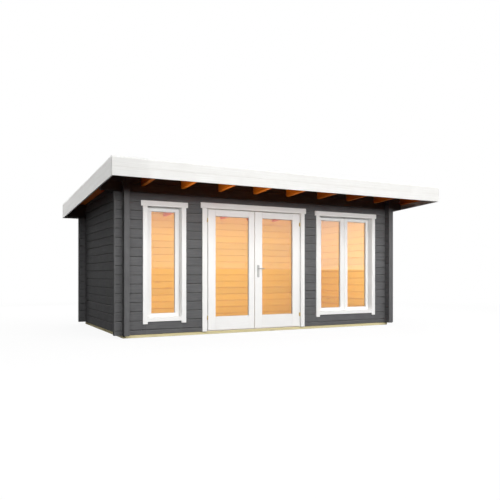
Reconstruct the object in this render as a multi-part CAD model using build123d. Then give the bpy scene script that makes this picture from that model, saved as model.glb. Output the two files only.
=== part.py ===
from build123d import *
import os
from math import ceil, floor, radians, tan

# Garden office pod: a log cabin with a pent roof, a glazed double door and two windows.
# All sizes are in millimetres. X runs to the right, Y to the back, Z up.
# The origin lies on the ground, under the middle of the roof's outline.

# Body of the cabin: the front wall's piers and openings, from left to right, make up its width
left_pier_width = 373.5
single_window_width = 530.0
pier_left_of_door_width = 444.0
door_leaves_width = 1668.0
pier_right_of_door_width = 418.5
double_window_width = 1137.0
right_pier_width = 394.0
body_depth = 2750.0
wall_thickness = 70.0

# Logs: every course is one pitch high, with a bevelled groove along each seam
log_pitch = 135.0
first_course_front = 67.5
first_course_side = 135.0
groove_depth = 8.0
groove_half_height = 9.0
log_end_length = 102.0
end_board_thickness = 18.0
end_board_width = 78.0
top_log_reach = 315.0
least_head_height = 100.0

# Foundation and floor
foundation_height = 45.0
foundation_recess = 10.0
foundation_beam_width = 100.0
joist_count = 6
joist_width = 45.0
floor_thickness = 19.0

# Roof
roof_pitch_degrees = 3.1
front_overhang = 890.0
back_overhang = 210.0
side_overhang = 368.0
front_infill_height = 109.3
rafter_count = 10
rafter_width = 58.0
rafter_depth = 148.0
rafter_notch_play = 0.5
deck_thickness = 19.0
covering_thickness = 4.0
fascia_thickness = 22.0
fascia_height = 248.0
fascia_groove_depth = 3.0
fascia_groove_half_height = 3.0
trim_thickness = 2.0
trim_drop = 18.0
trim_inner_width = 40.0

# Casings round the windows and the door
casing_thickness = 20.0
casing_leg_width = 73.0
casing_head_height = 80.0
casing_ear = 28.0
casing_rail_height = 62.0
casing_leg_tail = 34.0
casing_joint = 0.4
door_casing_head_height = 88.0

# Windows: a lined frame at the inner side of the wall carries the sashes
window_bottom = 293.0
window_top = 1944.0
lining_thickness = 20.0
frame_ledge = 22.0
frame_ledge_setback = 30.0
sash_setback = 60.0
sash_thickness = 48.0
sash_fit = 0.5
sash_stile = 56.0
sash_top_rail = 46.0
sash_bottom_rail = 52.0
window_glass_setback = 20.0
window_glass_thickness = 18.0
meeting_stile = 68.0
mullion_width = 22.0
mullion_setback = 14.0

# Door frame, leaves and threshold
door_meeting_offset = -12.0
door_bottom = 57.0
door_top = 1948.0
leaf_thickness = 46.0
leaf_gap = 6.0
leaf_meeting_gap = 8.0
door_frame_width = 44.0
door_frame_setback = 15.0
leaf_stop_gap = 6.0
door_stop_width = 15.0
door_strip_width = 30.0
threshold_thickness = 6.0
leaf_stile = 126.0
active_meeting_stile = 133.0
passive_meeting_stile = 103.0
leaf_top_rail = 99.0
leaf_bottom_rail = 211.0
meeting_groove_width = 31.0
meeting_groove_depth = 14.0
door_glass_setback = 22.0
door_glass_thickness = 16.0
glass_edge_cover = 12.0
glass_fit = 0.3

# Hinges
hinge_axis_side = 13.0
hinge_axis_front = 8.0
hinge_radius = 7.0
hinge_pin_radius = 3.5
hinge_pin_play = 0.3
hinge_half_height = 28.0
hinge_half_gap = 0.6
hinge_arm_width = 6.0
hinge_arm_depth = 6.0
hinge_arm_setback = 2.0
hinge_cap_height = 4.0
hinge_heights = (253.0, 1774.0)

# Lever handle on the right leaf
handle_height = 1027.0
handle_inset = 58.0
plate_width = 38.0
plate_above = 55.0
plate_below = 141.0
plate_thickness = 8.0
plate_corner = 6.0
lever_reach = 95.0
lever_radius = 9.0
lever_elbow = 12.0
lever_standoff = 46.0
spindle_radius = 8.0
spindle_play = 0.5

# Derived places
body_width = (
    left_pier_width
    + single_window_width
    + pier_left_of_door_width
    + door_leaves_width
    + pier_right_of_door_width
    + double_window_width
    + right_pier_width
)
roof_width = body_width + 2 * side_overhang
roof_depth = body_depth + front_overhang + back_overhang
roof_front = -roof_depth / 2
roof_back = roof_depth / 2
wall_front = roof_front + front_overhang
wall_back = roof_back - back_overhang
wall_left = -body_width / 2
wall_right = body_width / 2
room_left = wall_left + wall_thickness
room_right = wall_right - wall_thickness
room_front = wall_front + wall_thickness
room_back = wall_back - wall_thickness
slope = tan(radians(roof_pitch_degrees))
wall_base = foundation_height
floor_top = foundation_height + floor_thickness
window_hole_bottom = window_bottom - lining_thickness
window_hole_top = window_top + lining_thickness
door_head_bottom = door_top + leaf_gap
door_hole_top = door_head_bottom + door_frame_width


def front_seam(index):
    """Height of a seam in the front and back walls."""
    return wall_base + first_course_front + log_pitch * index


# The front wall ends at the first seam that leaves enough log over the openings
highest_opening = max(window_hole_top, door_hole_top)
front_band_top = front_seam(ceil((highest_opening + least_head_height - front_seam(0)) / log_pitch))
front_deck_underside = front_band_top + log_pitch + front_infill_height


def deck_top(y):
    """Height of the roof boards' upper face at a place y."""
    return front_deck_underside + deck_thickness - slope * (y - wall_front)


def deck_underside(y):
    return deck_top(y) - deck_thickness


def rafter_underside(y):
    return deck_underside(y) - rafter_depth


def block(x0, x1, y0, y1, z0, z1):
    middle = Pos((x0 + x1) / 2, (y0 + y1) / 2, (z0 + z1) / 2)
    return middle * Box(x1 - x0, y1 - y0, z1 - z0)


def prism_along_x(points, x0, x1):
    """Solid with a section of (y, z) points, carried from x0 to x1."""
    section = Plane.YZ * make_face(Polyline(*points, close=True))
    return Pos(x0, 0, 0) * extrude(section, x1 - x0)


def prism_along_y(points, y0, y1):
    """Solid with a section of (x, z) points, carried from y0 to y1."""
    section = Plane.XZ * make_face(Polyline(*points, close=True))
    return Pos(0, y1, 0) * extrude(section, y1 - y0)


def log_section(face, bottom, top, first_seam):
    """Section of stacked logs: a groove on both faces at every seam between bottom and top."""
    seams = []
    seam = first_seam
    while seam < top - groove_half_height:
        if seam > bottom + groove_half_height:
            seams.append(seam)
        seam += log_pitch
    near = [(face, bottom)]
    far = [(face + wall_thickness, bottom)]
    for height in seams:
        near.append((face, height - groove_half_height))
        near.append((face + groove_depth, height))
        near.append((face, height + groove_half_height))
        far.append((face + wall_thickness, height - groove_half_height))
        far.append((face + wall_thickness - groove_depth, height))
        far.append((face + wall_thickness, height + groove_half_height))
    near.append((face, top))
    far.append((face + wall_thickness, top))
    return near + far[::-1]


def logs_along_x(x0, x1, face, bottom, top):
    points = log_section(face, bottom, top, front_seam(0))
    return prism_along_x(points, x0, x1)


def logs_along_y(face, bottom, top):
    points = log_section(face, bottom, top, wall_base + first_course_side)
    return prism_along_y(points, wall_front - log_end_length, wall_back + log_end_length)


def sloped_prism(x0, x1, y0, y1, lower, upper):
    """Solid between two faces that fall with the roof; lower and upper give heights at y."""
    points = [(y0, lower(y0)), (y1, lower(y1)), (y1, upper(y1)), (y0, upper(y0))]
    return prism_along_x(points, x0, x1)


def rafter_left(index):
    first = -roof_width / 2 + fascia_thickness
    last = roof_width / 2 - fascia_thickness - rafter_width
    return first + (last - first) * index / (rafter_count - 1)


os.makedirs("parts", exist_ok=True)
nodes = {}

# Foundation beams lie on the ground, with the wall on their outer part and the floor on the rest
beam_left = wall_left + foundation_recess
beam_right = wall_right - foundation_recess
beam_front = wall_front + foundation_recess
beam_back = wall_back - foundation_recess
front_beam = block(
    beam_left, beam_right, beam_front, beam_front + foundation_beam_width, 0, foundation_height
)
back_beam = block(
    beam_left, beam_right, beam_back - foundation_beam_width, beam_back, 0, foundation_height
)
nodes["foundation_front_back_beams"] = Compound([front_beam, back_beam])

joist_front = beam_front + foundation_beam_width
joist_back = beam_back - foundation_beam_width
joists = [
    block(beam_left, beam_left + foundation_beam_width, joist_front, joist_back, 0, foundation_height),
    block(beam_right - foundation_beam_width, beam_right, joist_front, joist_back, 0, foundation_height),
]
joist_pitch = (beam_right - beam_left - foundation_beam_width) / (joist_count + 1)
for number in range(1, joist_count + 1):
    middle = beam_left + foundation_beam_width / 2 + joist_pitch * number
    edge = middle - joist_width / 2
    joists.append(block(edge, edge + joist_width, joist_front, joist_back, 0, foundation_height))
nodes["foundation_joists"] = Compound(joists)
nodes["floor"] = block(room_left, room_right, room_front, room_back, foundation_height, floor_top)

# Openings in the front wall, one after another from the left wall's outer face
single_left = wall_left + left_pier_width
single_right = single_left + single_window_width
leaves_left = single_right + pier_left_of_door_width
leaves_right = leaves_left + door_leaves_width
double_left = leaves_right + pier_right_of_door_width
double_right = double_left + double_window_width
frame_inner_left = leaves_left - leaf_gap
frame_inner_right = leaves_right + leaf_gap
door_hole_left = frame_inner_left - door_frame_width
door_hole_right = frame_inner_right + door_frame_width

# Front wall: piers beside the openings, logs under the windows and a band over everything
outer_left = wall_left - log_end_length
outer_right = wall_right + log_end_length
left_end = logs_along_x(outer_left, wall_left, wall_front, wall_base, front_band_top)
right_end = logs_along_x(wall_right, outer_right, wall_front, wall_base, front_band_top)


def front_logs(x0, x1, bottom, top):
    return logs_along_x(x0, x1, wall_front, bottom, top)


left_pier = front_logs(room_left, single_left - lining_thickness, wall_base, window_hole_top)
right_pier = front_logs(double_right + lining_thickness, room_right, wall_base, window_hole_top)
nodes["front_wall_left_pier"] = Compound([left_pier, left_end])
nodes["front_wall_right_pier"] = Compound([right_pier, right_end])
nodes["front_wall_left_of_door"] = front_logs(
    single_right + lining_thickness, door_hole_left, wall_base, window_hole_top
)
nodes["front_wall_right_of_door"] = front_logs(
    door_hole_right, double_left - lining_thickness, wall_base, window_hole_top
)
nodes["front_wall_under_single_window"] = front_logs(
    single_left - lining_thickness, single_right + lining_thickness, wall_base, window_hole_bottom
)
nodes["front_wall_under_double_window"] = front_logs(
    double_left - lining_thickness, double_right + lining_thickness, wall_base, window_hole_bottom
)
over_door_notch = block(
    door_hole_left, door_hole_right, wall_front, room_front, window_hole_top, door_hole_top
)
band = front_logs(room_left, room_right, window_hole_top, front_band_top)
nodes["front_wall_over_openings"] = band - over_door_notch

# Side walls run through the corners and rise to the roof boards
roof_space = sloped_prism(
    -roof_width,
    roof_width,
    roof_front,
    roof_back,
    deck_underside,
    lambda y: deck_underside(y) + 2 * rafter_depth,
)
side_top = deck_underside(wall_front - log_end_length) + deck_thickness
nodes["left_wall"] = logs_along_y(wall_left, wall_base, side_top) - roof_space
nodes["right_wall"] = logs_along_y(room_right, wall_base, side_top) - roof_space

# Back wall and its ends beyond the side walls
back_band_top = front_seam(floor((rafter_underside(room_back) - front_seam(0)) / log_pitch))
back_wall = logs_along_x(room_left, room_right, room_back, wall_base, back_band_top)
back_left_end = logs_along_x(outer_left, wall_left, room_back, wall_base, back_band_top)
back_right_end = logs_along_x(wall_right, outer_right, room_back, wall_base, back_band_top)
nodes["back_wall"] = Compound([back_wall, back_left_end, back_right_end])


# Top logs of the front and back walls reach out under the outer rafters and are notched for all
def top_log(face, bottom):
    highest = deck_underside(face) + deck_thickness
    spans = [
        (wall_left - top_log_reach, wall_left),
        (room_left, room_right),
        (wall_right, wall_right + top_log_reach),
    ]
    pieces = []
    for x0, x1 in spans:
        piece = logs_along_x(x0, x1, face, bottom, highest) - roof_space
        for index in range(rafter_count):
            left = rafter_left(index) - rafter_notch_play
            right = left + rafter_width + 2 * rafter_notch_play
            if left < x1 and right > x0:
                notch = sloped_prism(left, right, roof_front, roof_back, rafter_underside, deck_top)
                piece = piece - notch
        pieces.append(piece)
    return Compound(pieces)


nodes["front_top_log"] = top_log(wall_front, front_band_top)
nodes["back_top_log"] = top_log(room_back, back_band_top)


# Upright boards close the ends of the logs at the four corners
def end_boards(side, end):
    """Two boards at one corner: side is -1 for left, end is -1 for front."""
    outer_x = wall_left if side < 0 else wall_right
    outer_y = wall_front if end < 0 else wall_back
    spare = (end_board_width - wall_thickness) / 2
    x_in = outer_x + side * spare
    x_out = outer_x - side * (wall_thickness + spare)
    y_near = outer_y + end * log_end_length
    y_far = y_near + end * end_board_thickness
    gable_board = block(
        min(x_in, x_out), max(x_in, x_out), min(y_near, y_far), max(y_near, y_far), wall_base, side_top
    )
    y_in = outer_y + end * spare
    y_out = outer_y - end * (wall_thickness + spare)
    x_near = outer_x + side * log_end_length
    x_far = x_near + side * end_board_thickness
    band_top = front_band_top if end < 0 else back_band_top
    wall_board = block(
        min(x_near, x_far), max(x_near, x_far), min(y_in, y_out), max(y_in, y_out), wall_base, band_top
    )
    return Compound([gable_board - roof_space, wall_board])


nodes["end_boards_front_left"] = end_boards(-1, -1)
nodes["end_boards_front_right"] = end_boards(1, -1)
nodes["end_boards_back_left"] = end_boards(-1, 1)
nodes["end_boards_back_right"] = end_boards(1, 1)

# Rafters run from front to back, between the fascia boards
rafter_front = roof_front + fascia_thickness
rafter_back = roof_back - fascia_thickness
rafters = []
for index in range(rafter_count):
    left = rafter_left(index)
    rafters.append(
        sloped_prism(
            left, left + rafter_width, rafter_front, rafter_back, rafter_underside, deck_underside
        )
    )
nodes["rafters"] = Compound(rafters)

# Roof boards, covering, fascia boards and edge trim
roof_left = -roof_width / 2
roof_right = roof_width / 2
inner_left = roof_left + fascia_thickness
inner_right = roof_right - fascia_thickness
nodes["roof_boards"] = sloped_prism(
    inner_left, inner_right, rafter_front, rafter_back, deck_underside, deck_top
)
nodes["roof_covering"] = sloped_prism(
    roof_left, roof_right, roof_front, roof_back, deck_top, lambda y: deck_top(y) + covering_thickness
)


def fascia_bottom(y):
    return deck_top(y) - fascia_height


def fascia_middle(y):
    return deck_top(y) - fascia_height / 2


def grooved_fascia(outer_y, inner_y):
    """Board across the building, with a groove along the middle of its outer face."""
    inward = 1 if inner_y > outer_y else -1
    middle = fascia_middle(outer_y)
    points = [
        (outer_y, fascia_bottom(outer_y)),
        (outer_y, middle - fascia_groove_half_height),
        (outer_y + inward * fascia_groove_depth, middle),
        (outer_y, middle + fascia_groove_half_height),
        (outer_y, deck_top(outer_y)),
        (inner_y, deck_top(inner_y)),
        (inner_y, fascia_bottom(inner_y)),
    ]
    return prism_along_x(points, roof_left, roof_right)


def side_fascia(outer_x, inner_x):
    """Board along the slope, grooved along the middle of its outer face."""
    inward = 1 if inner_x > outer_x else -1
    board = sloped_prism(
        min(outer_x, inner_x), max(outer_x, inner_x), rafter_front, rafter_back, fascia_bottom, deck_top
    )
    half = fascia_groove_half_height
    section = [
        (outer_x, fascia_middle(0) - half),
        (outer_x + inward * fascia_groove_depth, fascia_middle(0)),
        (outer_x, fascia_middle(0) + half),
    ]
    groove = prism_along_y(section, roof_front, roof_back)
    groove = Rot(-roof_pitch_degrees, 0, 0) * (Pos(0, 0, -fascia_middle(0)) * groove)
    return board - Pos(0, 0, fascia_middle(0)) * groove


nodes["fascia_front"] = grooved_fascia(roof_front, rafter_front)
nodes["fascia_back"] = grooved_fascia(roof_back, rafter_back)
nodes["fascia_left"] = side_fascia(roof_left, inner_left)
nodes["fascia_right"] = side_fascia(roof_right, inner_right)


def covering_top(y):
    return deck_top(y) + covering_thickness


trim_outer = sloped_prism(
    roof_left - trim_thickness,
    roof_right + trim_thickness,
    roof_front - trim_thickness,
    roof_back + trim_thickness,
    lambda y: covering_top(y) - trim_drop,
    lambda y: covering_top(y) + trim_thickness,
)
trim_body = sloped_prism(
    roof_left, roof_right, roof_front, roof_back, lambda y: covering_top(y) - 2 * trim_drop, covering_top
)
trim_middle = sloped_prism(
    roof_left + trim_inner_width,
    roof_right - trim_inner_width,
    roof_front + trim_inner_width,
    roof_back - trim_inner_width,
    deck_underside,
    lambda y: covering_top(y) + 2 * trim_drop,
)
nodes["roof_edge_trim"] = trim_outer - trim_body - trim_middle


# Windows
def window_casing(left, right):
    """Head with ears, two legs with tails and a rail between the legs, on the wall's face."""
    y0 = wall_front - casing_thickness
    y1 = wall_front
    head = block(
        left - casing_leg_width - casing_ear,
        right + casing_leg_width + casing_ear,
        y0,
        y1,
        window_top,
        window_top + casing_head_height,
    )
    rail_bottom = window_bottom - casing_rail_height
    leg_bottom = rail_bottom - casing_leg_tail
    leg_top = window_top - casing_joint
    left_leg = block(left - casing_leg_width, left, y0, y1, leg_bottom, leg_top)
    right_leg = block(right, right + casing_leg_width, y0, y1, leg_bottom, leg_top)
    rail = block(left + casing_joint, right - casing_joint, y0, y1, rail_bottom, window_bottom)
    return Compound([head, left_leg, right_leg, rail])


sash_front = wall_front + sash_setback
sash_back = sash_front + sash_thickness


def window_frame(left, right):
    """Lining flush with the wall's face; ledges behind the sashes' front and the sill hold the sashes."""
    outside = block(
        left - lining_thickness,
        right + lining_thickness,
        wall_front,
        sash_back,
        window_hole_bottom,
        window_hole_top,
    )
    ledge_front = sash_front + frame_ledge_setback
    reveal = block(left, right, wall_front, ledge_front, window_bottom, window_top)
    seat = block(
        left + frame_ledge,
        right - frame_ledge,
        wall_front,
        sash_back,
        window_bottom,
        window_top - frame_ledge,
    )
    return outside - reveal - seat


sash_bottom = window_bottom + sash_fit
sash_top = window_top - frame_ledge - sash_fit
pane_front = sash_front + window_glass_setback
pane_back = pane_front + window_glass_thickness


def sash(left, right, left_stile, right_stile):
    """Sash frame and its pane; the pane's edge sits in a groove of the frame."""
    body = block(left, right, sash_front, sash_back, sash_bottom, sash_top)
    light_left = left + left_stile
    light_right = right - right_stile
    light_bottom = sash_bottom + sash_bottom_rail
    light_top = sash_top - sash_top_rail
    light = block(light_left, light_right, sash_front, sash_back, light_bottom, light_top)
    pocket = block(
        light_left - glass_edge_cover,
        light_right + glass_edge_cover,
        pane_front,
        pane_back,
        light_bottom - glass_edge_cover,
        light_top + glass_edge_cover,
    )
    reach = glass_edge_cover - glass_fit
    pane = block(
        light_left - reach,
        light_right + reach,
        pane_front + glass_fit,
        pane_back - glass_fit,
        light_bottom - reach,
        light_top + reach,
    )
    return body - light - pocket, pane


nodes["single_window_casing"] = window_casing(single_left, single_right)
nodes["single_window_frame"] = window_frame(single_left, single_right)
single_sash, single_pane = sash(
    single_left + frame_ledge + sash_fit,
    single_right - frame_ledge - sash_fit,
    sash_stile,
    sash_stile,
)
nodes["single_window_sash"] = single_sash
nodes["single_window_glass"] = single_pane

double_middle = (double_left + double_right) / 2
mullion = block(
    double_middle - mullion_width / 2,
    double_middle + mullion_width / 2,
    sash_front + mullion_setback,
    sash_back,
    window_bottom,
    window_top - frame_ledge,
)
nodes["double_window_casing"] = window_casing(double_left, double_right)
nodes["double_window_frame"] = window_frame(double_left, double_right) + mullion
left_sash, left_pane = sash(
    double_left + frame_ledge + sash_fit,
    double_middle - mullion_width / 2 - sash_fit,
    sash_stile,
    meeting_stile,
)
right_sash, right_pane = sash(
    double_middle + mullion_width / 2 + sash_fit,
    double_right - frame_ledge - sash_fit,
    meeting_stile,
    sash_stile,
)
nodes["double_window_sashes"] = Compound([left_sash, right_sash])
nodes["double_window_glass"] = Compound([left_pane, right_pane])

# Door frame: jambs and head with a stop behind the leaves, and a threshold below them
leaf_back = wall_front + leaf_thickness
stop_front = leaf_back + leaf_stop_gap
frame_face = wall_front + door_frame_setback
frame_back = room_front
frame_outside = block(
    door_hole_left, door_hole_right, frame_face, frame_back, wall_base, door_hole_top
)
leaf_space = block(
    frame_inner_left,
    frame_inner_right,
    wall_front,
    stop_front,
    wall_base + threshold_thickness,
    door_head_bottom,
)
passage = block(
    frame_inner_left + door_stop_width,
    frame_inner_right - door_stop_width,
    wall_front,
    frame_back,
    wall_base + threshold_thickness,
    door_head_bottom - door_stop_width,
)
nodes["door_frame"] = frame_outside - leaf_space - passage

# Casing of the door: a head with ears and two legs down to the foundation
door_casing_left = leaves_left - door_strip_width
door_casing_right = leaves_right + door_strip_width
door_casing_bottom = door_head_bottom + leaf_gap + casing_joint
casing_face = wall_front - casing_thickness
door_casing_head = block(
    door_casing_left - casing_leg_width - casing_ear,
    door_casing_right + casing_leg_width + casing_ear,
    casing_face,
    wall_front,
    door_casing_bottom,
    door_casing_bottom + door_casing_head_height,
)
door_legs = []
for edge in (door_casing_left - casing_leg_width, door_casing_right):
    door_legs.append(
        block(
            edge,
            edge + casing_leg_width,
            casing_face,
            wall_front,
            wall_base,
            door_casing_bottom - casing_joint,
        )
    )
nodes["door_casing_head"] = door_casing_head
nodes["door_casing_left_leg"] = door_legs[0]
nodes["door_casing_right_leg"] = door_legs[1]

# Door leaves: stiles and rails round one tall pane each
meeting = (leaves_left + leaves_right) / 2 + door_meeting_offset
left_leaf_right = meeting - leaf_meeting_gap / 2
right_leaf_left = meeting + leaf_meeting_gap / 2
door_pane_front = wall_front + door_glass_setback
door_pane_back = door_pane_front + door_glass_thickness
light_bottom = door_bottom + leaf_bottom_rail
light_top = door_top - leaf_top_rail


def leaf(left, right, left_stile, right_stile):
    """Leaf frame and its pane, with the pane's edge in a groove."""
    body = block(left, right, wall_front, leaf_back, door_bottom, door_top)
    light_left = left + left_stile
    light_right = right - right_stile
    light = block(light_left, light_right, wall_front, leaf_back, light_bottom, light_top)
    pocket = block(
        light_left - glass_edge_cover,
        light_right + glass_edge_cover,
        door_pane_front,
        door_pane_back,
        light_bottom - glass_edge_cover,
        light_top + glass_edge_cover,
    )
    reach = glass_edge_cover - glass_fit
    pane = block(
        light_left - reach,
        light_right + reach,
        door_pane_front + glass_fit,
        door_pane_back - glass_fit,
        light_bottom - reach,
        light_top + reach,
    )
    return body - light - pocket, pane


left_leaf, left_leaf_pane = leaf(leaves_left, left_leaf_right, leaf_stile, passive_meeting_stile)
right_leaf, right_leaf_pane = leaf(right_leaf_left, leaves_right, active_meeting_stile, leaf_stile)
meeting_groove = block(
    left_leaf_right - meeting_groove_width,
    left_leaf_right,
    wall_front,
    wall_front + meeting_groove_depth,
    door_bottom,
    door_top,
)
handle_x = right_leaf_left + handle_inset
spindle_hole = Pos(handle_x, wall_front + leaf_thickness / 2, handle_height) * Rot(90, 0, 0)
spindle_hole = spindle_hole * Cylinder(spindle_radius + spindle_play, 2 * leaf_thickness)
nodes["left_door_leaf"] = left_leaf - meeting_groove
nodes["left_door_glass"] = left_leaf_pane
nodes["right_door_leaf"] = right_leaf - spindle_hole
nodes["right_door_glass"] = right_leaf_pane


# Hinges: a fixed lower half with its pin, and an upper half on the leaf, each with an arm behind it
def hinge_halves(leaf_edge, outward):
    """Both halves of one leaf's hinges; outward is -1 where the frame lies to the left."""
    axis_x = leaf_edge + outward * hinge_axis_side
    axis_y = wall_front - hinge_axis_front
    arm_left = axis_x - hinge_arm_width / 2
    arm_right = axis_x + hinge_arm_width / 2
    foot_front = wall_front + hinge_arm_setback
    foot_back = foot_front + hinge_arm_depth
    fixed = []
    moving = []
    for height in hinge_heights:
        lower = height - hinge_half_height
        base = Pos(axis_x, axis_y, lower + hinge_half_height / 2) * Cylinder(
            hinge_radius, hinge_half_height
        )
        pin_height = 2 * hinge_half_height + hinge_cap_height
        pin = Pos(axis_x, axis_y, lower + pin_height / 2) * Cylinder(hinge_pin_radius, pin_height)
        cap_middle = lower + pin_height + hinge_cap_height / 2
        cap = Pos(axis_x, axis_y, cap_middle) * Cylinder(hinge_radius, hinge_cap_height)
        frame_arm = block(arm_left, arm_right, axis_y, frame_face, lower, height)
        fixed.append(base + pin + cap + frame_arm)
        upper_bottom = height + hinge_half_gap
        upper_top = height + hinge_half_height
        upper_middle = (upper_bottom + upper_top) / 2
        upper_height = upper_top - upper_bottom
        sleeve = Pos(axis_x, axis_y, upper_middle) * Cylinder(hinge_radius, upper_height)
        leaf_arm = block(arm_left, arm_right, axis_y, foot_back, upper_bottom, upper_top)
        foot = block(
            min(axis_x, leaf_edge),
            max(axis_x, leaf_edge),
            foot_front,
            foot_back,
            upper_bottom,
            upper_top,
        )
        bore = Pos(axis_x, axis_y, upper_middle) * Cylinder(
            hinge_pin_radius + hinge_pin_play, 2 * hinge_half_height
        )
        moving.append(sleeve + leaf_arm + foot - bore)
    return Compound(fixed), Compound(moving)


left_fixed, left_moving = hinge_halves(leaves_left, -1)
right_fixed, right_moving = hinge_halves(leaves_right, 1)
nodes["left_hinge_pins"] = left_fixed
nodes["left_hinge_sleeves"] = left_moving
nodes["right_hinge_pins"] = right_fixed
nodes["right_hinge_sleeves"] = right_moving

# Handle: a long plate on each face of the right leaf, and levers on one spindle
plate_z = handle_height + (plate_above - plate_below) / 2
plate_height = plate_above + plate_below
plates = []
for face, outward in ((wall_front, -1), (leaf_back, 1)):
    middle_y = face + outward * plate_thickness / 2
    plate = Pos(handle_x, middle_y, plate_z) * Box(plate_width, plate_thickness, plate_height)
    plate = fillet(plate.edges().filter_by(Axis.Y), plate_corner)
    bore = Pos(handle_x, middle_y, handle_height) * Rot(90, 0, 0)
    bore = bore * Cylinder(spindle_radius + spindle_play, 2 * plate_thickness)
    plates.append(plate - bore)
nodes["door_handle_plates"] = Compound(plates)

outer_lever_y = wall_front - lever_standoff
inner_lever_y = leaf_back + lever_standoff
spindle_length = inner_lever_y - outer_lever_y
lever = Pos(handle_x, (outer_lever_y + inner_lever_y) / 2, handle_height) * Rot(90, 0, 0)
lever = lever * Cylinder(spindle_radius, spindle_length)
for lever_y in (outer_lever_y, inner_lever_y):
    grip = Pos(handle_x + (lever_reach - lever_elbow) / 2, lever_y, handle_height) * Rot(0, 90, 0)
    lever = lever + grip * Cylinder(lever_radius, lever_reach + lever_elbow)
nodes["door_lever"] = lever

for name, shape in nodes.items():
    export_step(shape, f"parts/{name}.step")
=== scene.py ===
import math

import bpy
import numpy as np
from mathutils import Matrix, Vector


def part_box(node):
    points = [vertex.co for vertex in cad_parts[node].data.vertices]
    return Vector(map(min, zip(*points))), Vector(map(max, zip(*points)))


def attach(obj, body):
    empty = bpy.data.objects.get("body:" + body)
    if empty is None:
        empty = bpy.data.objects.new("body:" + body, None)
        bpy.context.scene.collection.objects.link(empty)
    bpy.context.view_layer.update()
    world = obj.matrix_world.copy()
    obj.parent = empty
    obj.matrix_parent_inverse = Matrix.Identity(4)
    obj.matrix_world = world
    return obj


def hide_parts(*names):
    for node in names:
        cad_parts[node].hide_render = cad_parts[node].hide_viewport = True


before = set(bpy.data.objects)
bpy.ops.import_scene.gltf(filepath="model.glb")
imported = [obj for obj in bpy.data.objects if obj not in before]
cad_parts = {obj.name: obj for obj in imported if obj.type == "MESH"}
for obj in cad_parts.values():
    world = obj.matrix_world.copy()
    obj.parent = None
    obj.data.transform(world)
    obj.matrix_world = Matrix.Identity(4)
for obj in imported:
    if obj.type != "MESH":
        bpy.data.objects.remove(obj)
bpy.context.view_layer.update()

# Garden office pod: log walls, pent roof, glazed double door and two windows. All lengths in metres.
# The camera and the lights come first, then the finishes, the walls, the ground and floor, the roof, and
# last the casings, windows and doors.

PHOTO_SIZE = 500
HORIZON_ROW = 274.2
FOCAL_PIXELS = 559.1
SENSOR_WIDTH = 36.0
EYE = (-4.5689, -9.0709, 0.9346)
HEADING = 27.41

chance = np.random.default_rng(20)
scene = bpy.context.scene
scene.view_settings.view_transform = "Standard"


def add(tree, kind, sockets=None, **settings):
    """Adds one node, sets its properties, and fills its sockets with values or with other outputs."""
    made = tree.nodes.new(kind)
    for key, value in settings.items():
        setattr(made, key, value)
    for key, value in (sockets or {}).items():
        if isinstance(value, bpy.types.NodeSocket):
            tree.links.new(value, made.inputs[key])
        else:
            made.inputs[key].default_value = value
    return made


def linear(hex_colour):
    """sRGB hex colour as linear red, green, blue and alpha."""
    c = np.array([int(hex_colour[i:i + 2], 16) for i in (1, 3, 5)]) / 255
    c = np.where(c <= 0.04045, c / 12.92, ((c + 0.055) / 1.055) ** 2.4)
    return (*c.tolist(), 1.0)


def link_object(obj):
    scene.collection.objects.link(obj)
    return obj


# Camera: level, at eye height, its picture shifted up as in the photograph
camera_data = bpy.data.cameras.new("camera")
camera_data.sensor_width = SENSOR_WIDTH
camera_data.lens = FOCAL_PIXELS / PHOTO_SIZE * SENSOR_WIDTH
camera_data.shift_y = (HORIZON_ROW - PHOTO_SIZE / 2) / PHOTO_SIZE
camera = link_object(bpy.data.objects.new("camera", camera_data))
camera.location = EYE
camera.rotation_euler = (math.pi / 2, 0, -math.radians(HEADING))
scene.camera = camera


# Lights: large soft panels on four sides and overhead, brightest in front, two cards that only the glass
# mirrors, a panel for the white joinery, a strip on the ground for the rafters, and two panels in the room
def panel(name, place, target, width, height, brightness, colour="#ffffff", mirrored=True, spread=180.0):
    """Soft panel; brightness is what it looks like, with 1 as white. Power is brightness x pi x area."""
    data = bpy.data.lights.new(name, "AREA")
    data.shape = "RECTANGLE"
    data.size, data.size_y = width, height
    data.energy = brightness * math.pi * width * height
    data.color = linear(colour)[:3]
    data.spread = math.radians(spread)
    obj = link_object(bpy.data.objects.new(name, data))
    obj.location = place
    obj.rotation_euler = (Vector(target) - obj.location).to_track_quat("-Z", "Y").to_euler()
    obj.visible_camera = False
    obj.visible_glossy = mirrored
    obj.visible_transmission = mirrored
    return obj


def light_only(lamp, pieces):
    """Makes one lamp shine at some pieces alone."""
    chosen = bpy.data.collections.new(lamp.name + "_shines_at")
    for obj in pieces:
        chosen.objects.link(obj)
    lamp.light_linking.receiver_collection = chosen


panel("front_panel", (1.0, -9.0, 6.15), (1.0, -1.0, 6.15), 18.0, 7.1, 2.9, mirrored=False)
panel("front_low_panel", (1.0, -9.0, 3.2), (1.0, -1.0, 3.2), 18.0, 1.2, 6.8, mirrored=False)
front_card = panel("front_card", (1.0, -9.1, 4.1), (1.0, -1.0, 4.1), 18.0, 6.0, 0.72)
right_card = panel("right_card", (8.0, -9.2, 4.1), (8.0, -1.0, 4.1), 4.0, 6.0, 0.75)
for card in (front_card, right_card):
    card.visible_diffuse = False
left_panel = panel("left_panel", (-9.0, 0.0, 6.75), (-2.5, 0.0, 6.75), 10.0, 5.5, 2.1)
joinery_panel = panel("joinery_panel", (-8.0, -6.5, 2.6), (0.0, -1.0, 1.2), 3.0, 4.0, 3.8, mirrored=False)
panel("right_panel", (9.0, 0.0, 6.0), (2.5, 0.0, 6.0), 10.0, 7.0, 0.85)
panel("back_panel", (0.0, 9.0, 5.2), (0.0, 1.0, 5.2), 16.0, 8.4, 2.6)
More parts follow.
